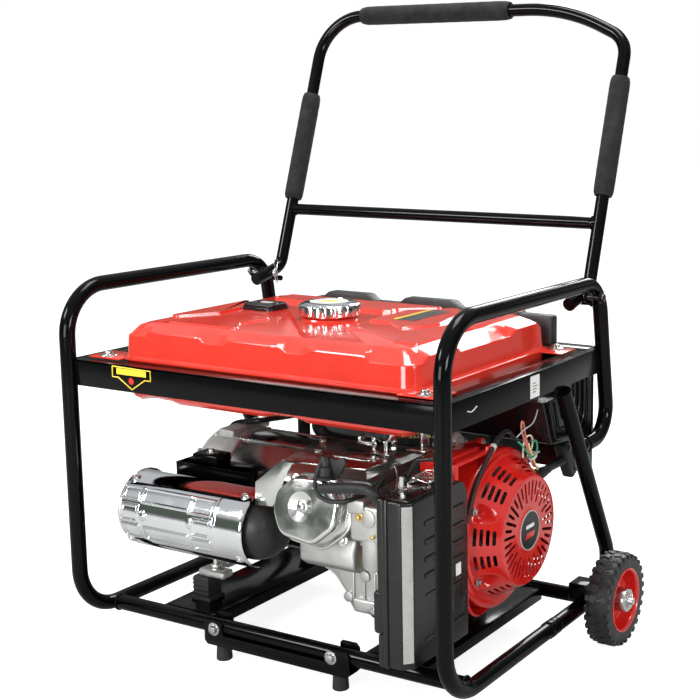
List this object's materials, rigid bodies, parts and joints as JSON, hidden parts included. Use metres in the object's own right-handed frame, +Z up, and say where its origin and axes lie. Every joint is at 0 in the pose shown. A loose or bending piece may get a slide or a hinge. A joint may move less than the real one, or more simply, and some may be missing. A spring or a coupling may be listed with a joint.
{
  "type": "portable generator",
  "caption": "Open-frame portable generator: engine and alternator in a tubular cage under a fuel tank, with rear wheels and a fold-down handle.",
  "frame": {"origin": "middle of the whole outline, on the ground", "axes": "+Z up; +X towards the recoil starter; -Y towards the muffler and air filter; +Y towards the wheels, handle and control panel"},
  "size_m": [0.886, 0.6938, 1.0656],
  "materials": {
    "frame_black": "gloss black powder coat",
    "gloss_red": "gloss red enamel",
    "chrome": "bright chrome",
    "zinc": "bright zinc plate",
    "cast_aluminium": "as cast",
    "black_plastic": "satin black",
    "rubber": "matte black",
    "tyre": "matte black",
    "foam": "matte foam rubber",
    "muffler_black": "satin heat-resistant black",
    "steel": "machined",
    "filter_foam": "oiled foam",
    "drain_yellow": "gloss"
  },
  "bodies": {
    "frame": {"end_frame_left": "frame_black", "end_frame_right": "frame_black", "base_rail_front": "frame_black", "base_rail_rear": "frame_black", "tank_frame": "frame_black", "engine_beam_left": "frame_black", "engine_beam_right": "frame_black", "foot_bracket": "frame_black", "foot_left": "rubber", "foot_right": "rubber", "axle_left": "frame_black", "axle_right": "frame_black", "handle_pivot_left": "steel", "handle_pivot_right": "steel", "fuel_tank": "gloss_red", "tank_trim": "black_plastic", "fuel_gauge": "black_plastic", "fuel_valve": "zinc", "crankcase": "cast_aluminium", "cylinder_head": "cast_aluminium", "valve_cover": "zinc", "head_shroud": "zinc", "muffler": "muffler_black", "muffler_shield": "chrome", "carburettor": "cast_aluminium", "filter_base": "black_plastic", "filter_element": "filter_foam", "filter_cover": "black_plastic", "breather_hose": "rubber", "spark_plug_cap": "rubber", "oil_drain_tube": "drain_yellow", "blower_housing": "gloss_red", "recoil_cover": "gloss_red", "alternator_housing": "cast_aluminium", "alternator_end_cover": "cast_aluminium", "mount_front": "rubber", "mount_rear": "rubber", "control_panel": "black_plastic"},
    "wheel_left": {"rim_left": "gloss_red", "tyre_left": "tyre"},
    "wheel_right": {"rim_right": "gloss_red", "tyre_right": "tyre"},
    "handle": {"handle_tube": "frame_black", "grip_top": "foam", "grip_left": "foam", "grip_right": "foam"},
    "rope_grip": {"recoil_grip": "black_plastic"},
    "pulley": {"recoil_pulley": "black_plastic"},
    "crank": {"crankshaft": "steel", "flywheel": "cast_aluminium", "alternator_rotor": "steel"},
    "cap_seal": {"cap_gasket": "rubber"},
    "cap": {"fuel_cap": "chrome"},
    "valve_lever": {"fuel_valve_lever": "steel"},
    "choke": {"choke_lever": "black_plastic"},
    "latch": {"filter_latch": "steel"},
    "lid_left": {"socket_lid_left": "black_plastic"},
    "lid_right": {"socket_lid_right": "black_plastic"},
    "rocker": {"breaker_rocker": "gloss_red"},
    "key": {"key_switch": "steel"}
  },
  "joints": [
    {"name": "wheel_left_spin", "type": "hinge", "parent": "frame", "child": "wheel_left", "pos_m": [-0.4086, 0.1006, 0.077], "axis": [1, 0, 0], "continuous": true},
    {"name": "wheel_right_spin", "type": "hinge", "parent": "frame", "child": "wheel_right", "pos_m": [0.4086, 0.1006, 0.077], "axis": [1, 0, 0], "continuous": true},
    {"name": "handle_fold", "type": "hinge", "parent": "frame", "child": "handle", "pos_m": [0, 0.1321, 0.5699], "axis": [1, 0, 0], "range_deg": [0, 88]},
    {"name": "recoil_pull", "type": "slide", "parent": "frame", "child": "rope_grip", "axis": [0, 1, 0], "range_m": [0, 0.12], "stiffness_N_per_m": 60, "springref_m": -0.15},
    {"name": "pulley_turn", "type": "hinge", "parent": "frame", "child": "pulley", "pos_m": [0.29, -0.0414, 0.221], "axis": [1, 0, 0], "range_deg": [-125, 0]},
    {"name": "crank_spin", "type": "hinge", "parent": "frame", "child": "crank", "pos_m": [0, -0.0414, 0.221], "axis": [1, 0, 0], "continuous": true},
    {"name": "cap_lift", "type": "slide", "parent": "frame", "child": "cap_seal", "axis": [0, 0, 1], "range_m": [0, 0.1]},
    {"name": "cap_turn", "type": "hinge", "parent": "cap_seal", "child": "cap", "pos_m": [-0.01, -0.0994, 0.5475], "axis": [0, 0, 1], "range_deg": [0, 90]},
    {"name": "fuel_valve_turn", "type": "hinge", "parent": "frame", "child": "valve_lever", "pos_m": [0.18, -0.2314, 0.398], "axis": [0, -1, 0], "range_deg": [0, 90]},
    {"name": "choke_move", "type": "hinge", "parent": "frame", "child": "choke", "pos_m": [0.256, -0.2864, 0.357], "axis": [0, 1, 0], "range_deg": [0, 30]},
    {"name": "latch_open", "type": "hinge", "parent": "frame", "child": "latch", "pos_m": [0.27, -0.2314, 0.343], "axis": [0, 1, 0], "range_deg": [0, 100]},
    {"name": "socket_lid_left_open", "type": "hinge", "parent": "frame", "child": "lid_left", "pos_m": [0, 0.1741, 0.4085], "axis": [1, 0, 0], "range_deg": [0, 100], "stiffness_Nm_per_rad": 0.02, "springref_deg": -34.38},
    {"name": "socket_lid_right_open", "type": "hinge", "parent": "frame", "child": "lid_right", "pos_m": [0.08, 0.1741, 0.4085], "axis": [1, 0, 0], "range_deg": [0, 100], "stiffness_Nm_per_rad": 0.02, "springref_deg": -34.38},
    {"name": "breaker_tip", "type": "hinge", "parent": "frame", "child": "rocker", "pos_m": [0.165, 0.1616, 0.382], "axis": [1, 0, 0], "range_deg": [0, 10]},
    {"name": "key_turn", "type": "hinge", "parent": "frame", "child": "key", "pos_m": [0.24, 0.1616, 0.383], "axis": [0, 1, 0], "range_deg": [0, 90]}
  ],
  "couplings": [
    {"joint": "pulley_turn", "follows": "recoil_pull", "rad_per_m": -16.26}
  ]
}
